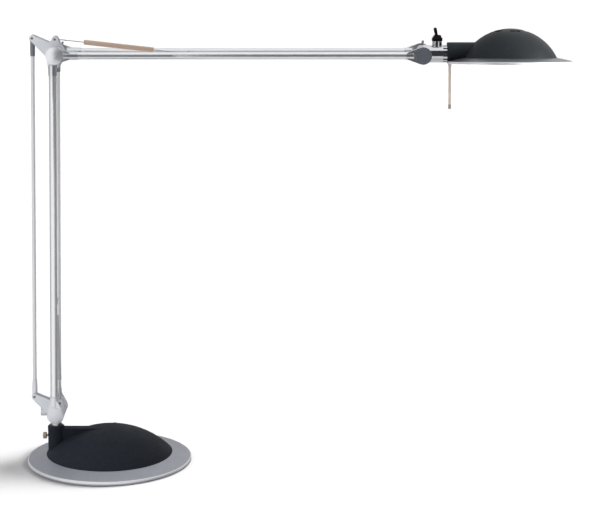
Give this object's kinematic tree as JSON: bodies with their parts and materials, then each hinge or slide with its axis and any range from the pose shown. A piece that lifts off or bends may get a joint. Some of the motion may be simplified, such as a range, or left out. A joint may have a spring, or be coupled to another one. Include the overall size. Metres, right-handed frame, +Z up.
{
  "type": "balanced-arm desk lamp",
  "caption": "Desk lamp with a weighted round base, a spring-balanced twin-tube post and arm kept level by a tie rod, and a shallow round swivelling head.",
  "frame": {"origin": "centre of the base's underside, on the surface that the lamp stands on", "axes": "+Z up, +X from the post towards the head with the swivel at rest, +Y away from the front"},
  "size_m": [0.7204, 0.22, 0.5849],
  "materials": {
    "rubber_pad": "matt",
    "base_disc": "satin silver",
    "cast_iron": "rough",
    "black_plastic": "fine-grained",
    "switch_black": "matt",
    "cord_gland": "matt",
    "transformer": "varnished",
    "steel": "bright",
    "spring_steel": "drawn",
    "nylon": "matt",
    "thumb_screw": "bronzed",
    "castings": "satin silver",
    "rod_end": "satin grey",
    "tube": "satin anodised",
    "caps": "satin",
    "sleeve": "woven",
    "barrel": "polished",
    "shade": "satin silver",
    "reflector": "polished",
    "ceramic": "glazed",
    "glass": "clear",
    "handle": "satin"
  },
  "bodies": {
    "base": {"base_pad": "rubber_pad", "base_plate": "base_disc", "ballast": "cast_iron", "base_cover": "black_plastic", "transformer": "transformer", "base_screws": "steel", "cord_gland": "cord_gland", "swivel_bush": "nylon"},
    "clamp": {"clamp_screw": "thumb_screw"},
    "swivel": {"swivel_stem": "steel", "foot_casting": "castings", "foot_axle": "steel", "foot_pins": "steel", "foot_washers": "nylon"},
    "tension": {"tension_knob": "castings"},
    "post": {"post_foot_front": "castings", "post_foot_rear": "castings", "post_tube_front": "tube", "post_tube_rear": "tube", "post_top_front": "castings", "post_top_rear": "castings", "post_caps": "caps", "post_spring": "spring_steel", "post_spring_sleeve": "sleeve", "post_spring_anchor": "steel"},
    "tie_rod": {"tie_rod_foot": "castings", "tie_rod": "steel", "tie_rod_top": "rod_end"},
    "elbow": {"elbow_casting": "castings", "elbow_axle": "steel", "elbow_pins": "steel", "elbow_washers": "nylon"},
    "arm": {"arm_elbow_front": "castings", "arm_elbow_rear": "castings", "arm_tube_front": "tube", "arm_tube_rear": "tube", "arm_end_front": "castings", "arm_end_rear": "castings", "arm_caps": "caps", "terminal_screws": "steel", "arm_spring": "spring_steel", "arm_spring_sleeve": "sleeve", "arm_spring_anchor": "steel"},
    "head_joint": {"head_barrel": "barrel", "head_axle": "steel", "head_washers": "nylon", "toggle_switch": "steel", "switch_boot": "switch_black"},
    "lever": {"switch_lever": "switch_black"},
    "head": {"shade": "shade", "head_cover": "black_plastic", "head_spindle": "barrel", "reflector": "reflector", "lamp_holder": "ceramic", "bulb": "glass", "glass_disc": "glass", "glass_ring": "shade", "handle_socket": "barrel", "handle_rod": "handle", "handle_tip": "handle"}
  },
  "joints": [
    {"name": "swivel_turn", "type": "hinge", "parent": "base", "child": "swivel", "pos_m": [-0.0713, 0, 0.049], "axis": [0, 0, 1], "range_deg": [-170, 170]},
    {"name": "clamp_turn", "type": "hinge", "parent": "base", "child": "clamp", "pos_m": [-0.087, 0, 0.0353], "axis": [1, 0, 0], "range_deg": [-360, 360]},
    {"name": "tension_turn", "type": "hinge", "parent": "swivel", "child": "tension", "pos_m": [-0.086, 0, 0.069], "axis": [1, 0, 0], "range_deg": [-360, 360]},
    {"name": "post_tilt", "type": "hinge", "parent": "swivel", "child": "post", "pos_m": [-0.069, 0, 0.07], "axis": [0, 1, 0], "range_deg": [-20, 60], "deforming": ["post_spring", "post_spring_sleeve"]},
    {"name": "tie_rod_tilt", "type": "hinge", "parent": "swivel", "child": "tie_rod", "pos_m": [-0.0987, 0, 0.0906], "axis": [0, 1, 0], "range_deg": [-21, 61]},
    {"name": "elbow_level", "type": "hinge", "parent": "post", "child": "elbow", "pos_m": [-0.05876, 0, 0.55089], "axis": [0, 1, 0], "range_deg": [-61, 21]},
    {"name": "arm_tilt", "type": "hinge", "parent": "elbow", "child": "arm", "pos_m": [-0.05876, 0, 0.55089], "axis": [0, 1, 0], "range_deg": [-50, 30], "deforming": ["arm_spring", "arm_spring_sleeve"]},
    {"name": "head_tilt", "type": "hinge", "parent": "arm", "child": "head_joint", "pos_m": [0.41524, 0, 0.55089], "axis": [0, 1, 0], "range_deg": [-60, 75]},
    {"name": "head_roll", "type": "hinge", "parent": "head_joint", "child": "head", "pos_m": [0.45024, 0, 0.55089], "axis": [1, 0, 0], "range_deg": [-90, 90]},
    {"name": "switch_throw", "type": "hinge", "parent": "head_joint", "child": "lever", "pos_m": [0.43424, 0, 0.57089], "axis": [0, 1, 0], "range_deg": [0, 26]}
  ],
  "couplings": [
    {"joint": "tie_rod_tilt", "follows": "post_tilt", "ratio": 1},
    {"joint": "elbow_level", "follows": "post_tilt", "ratio": -1}
  ]
}
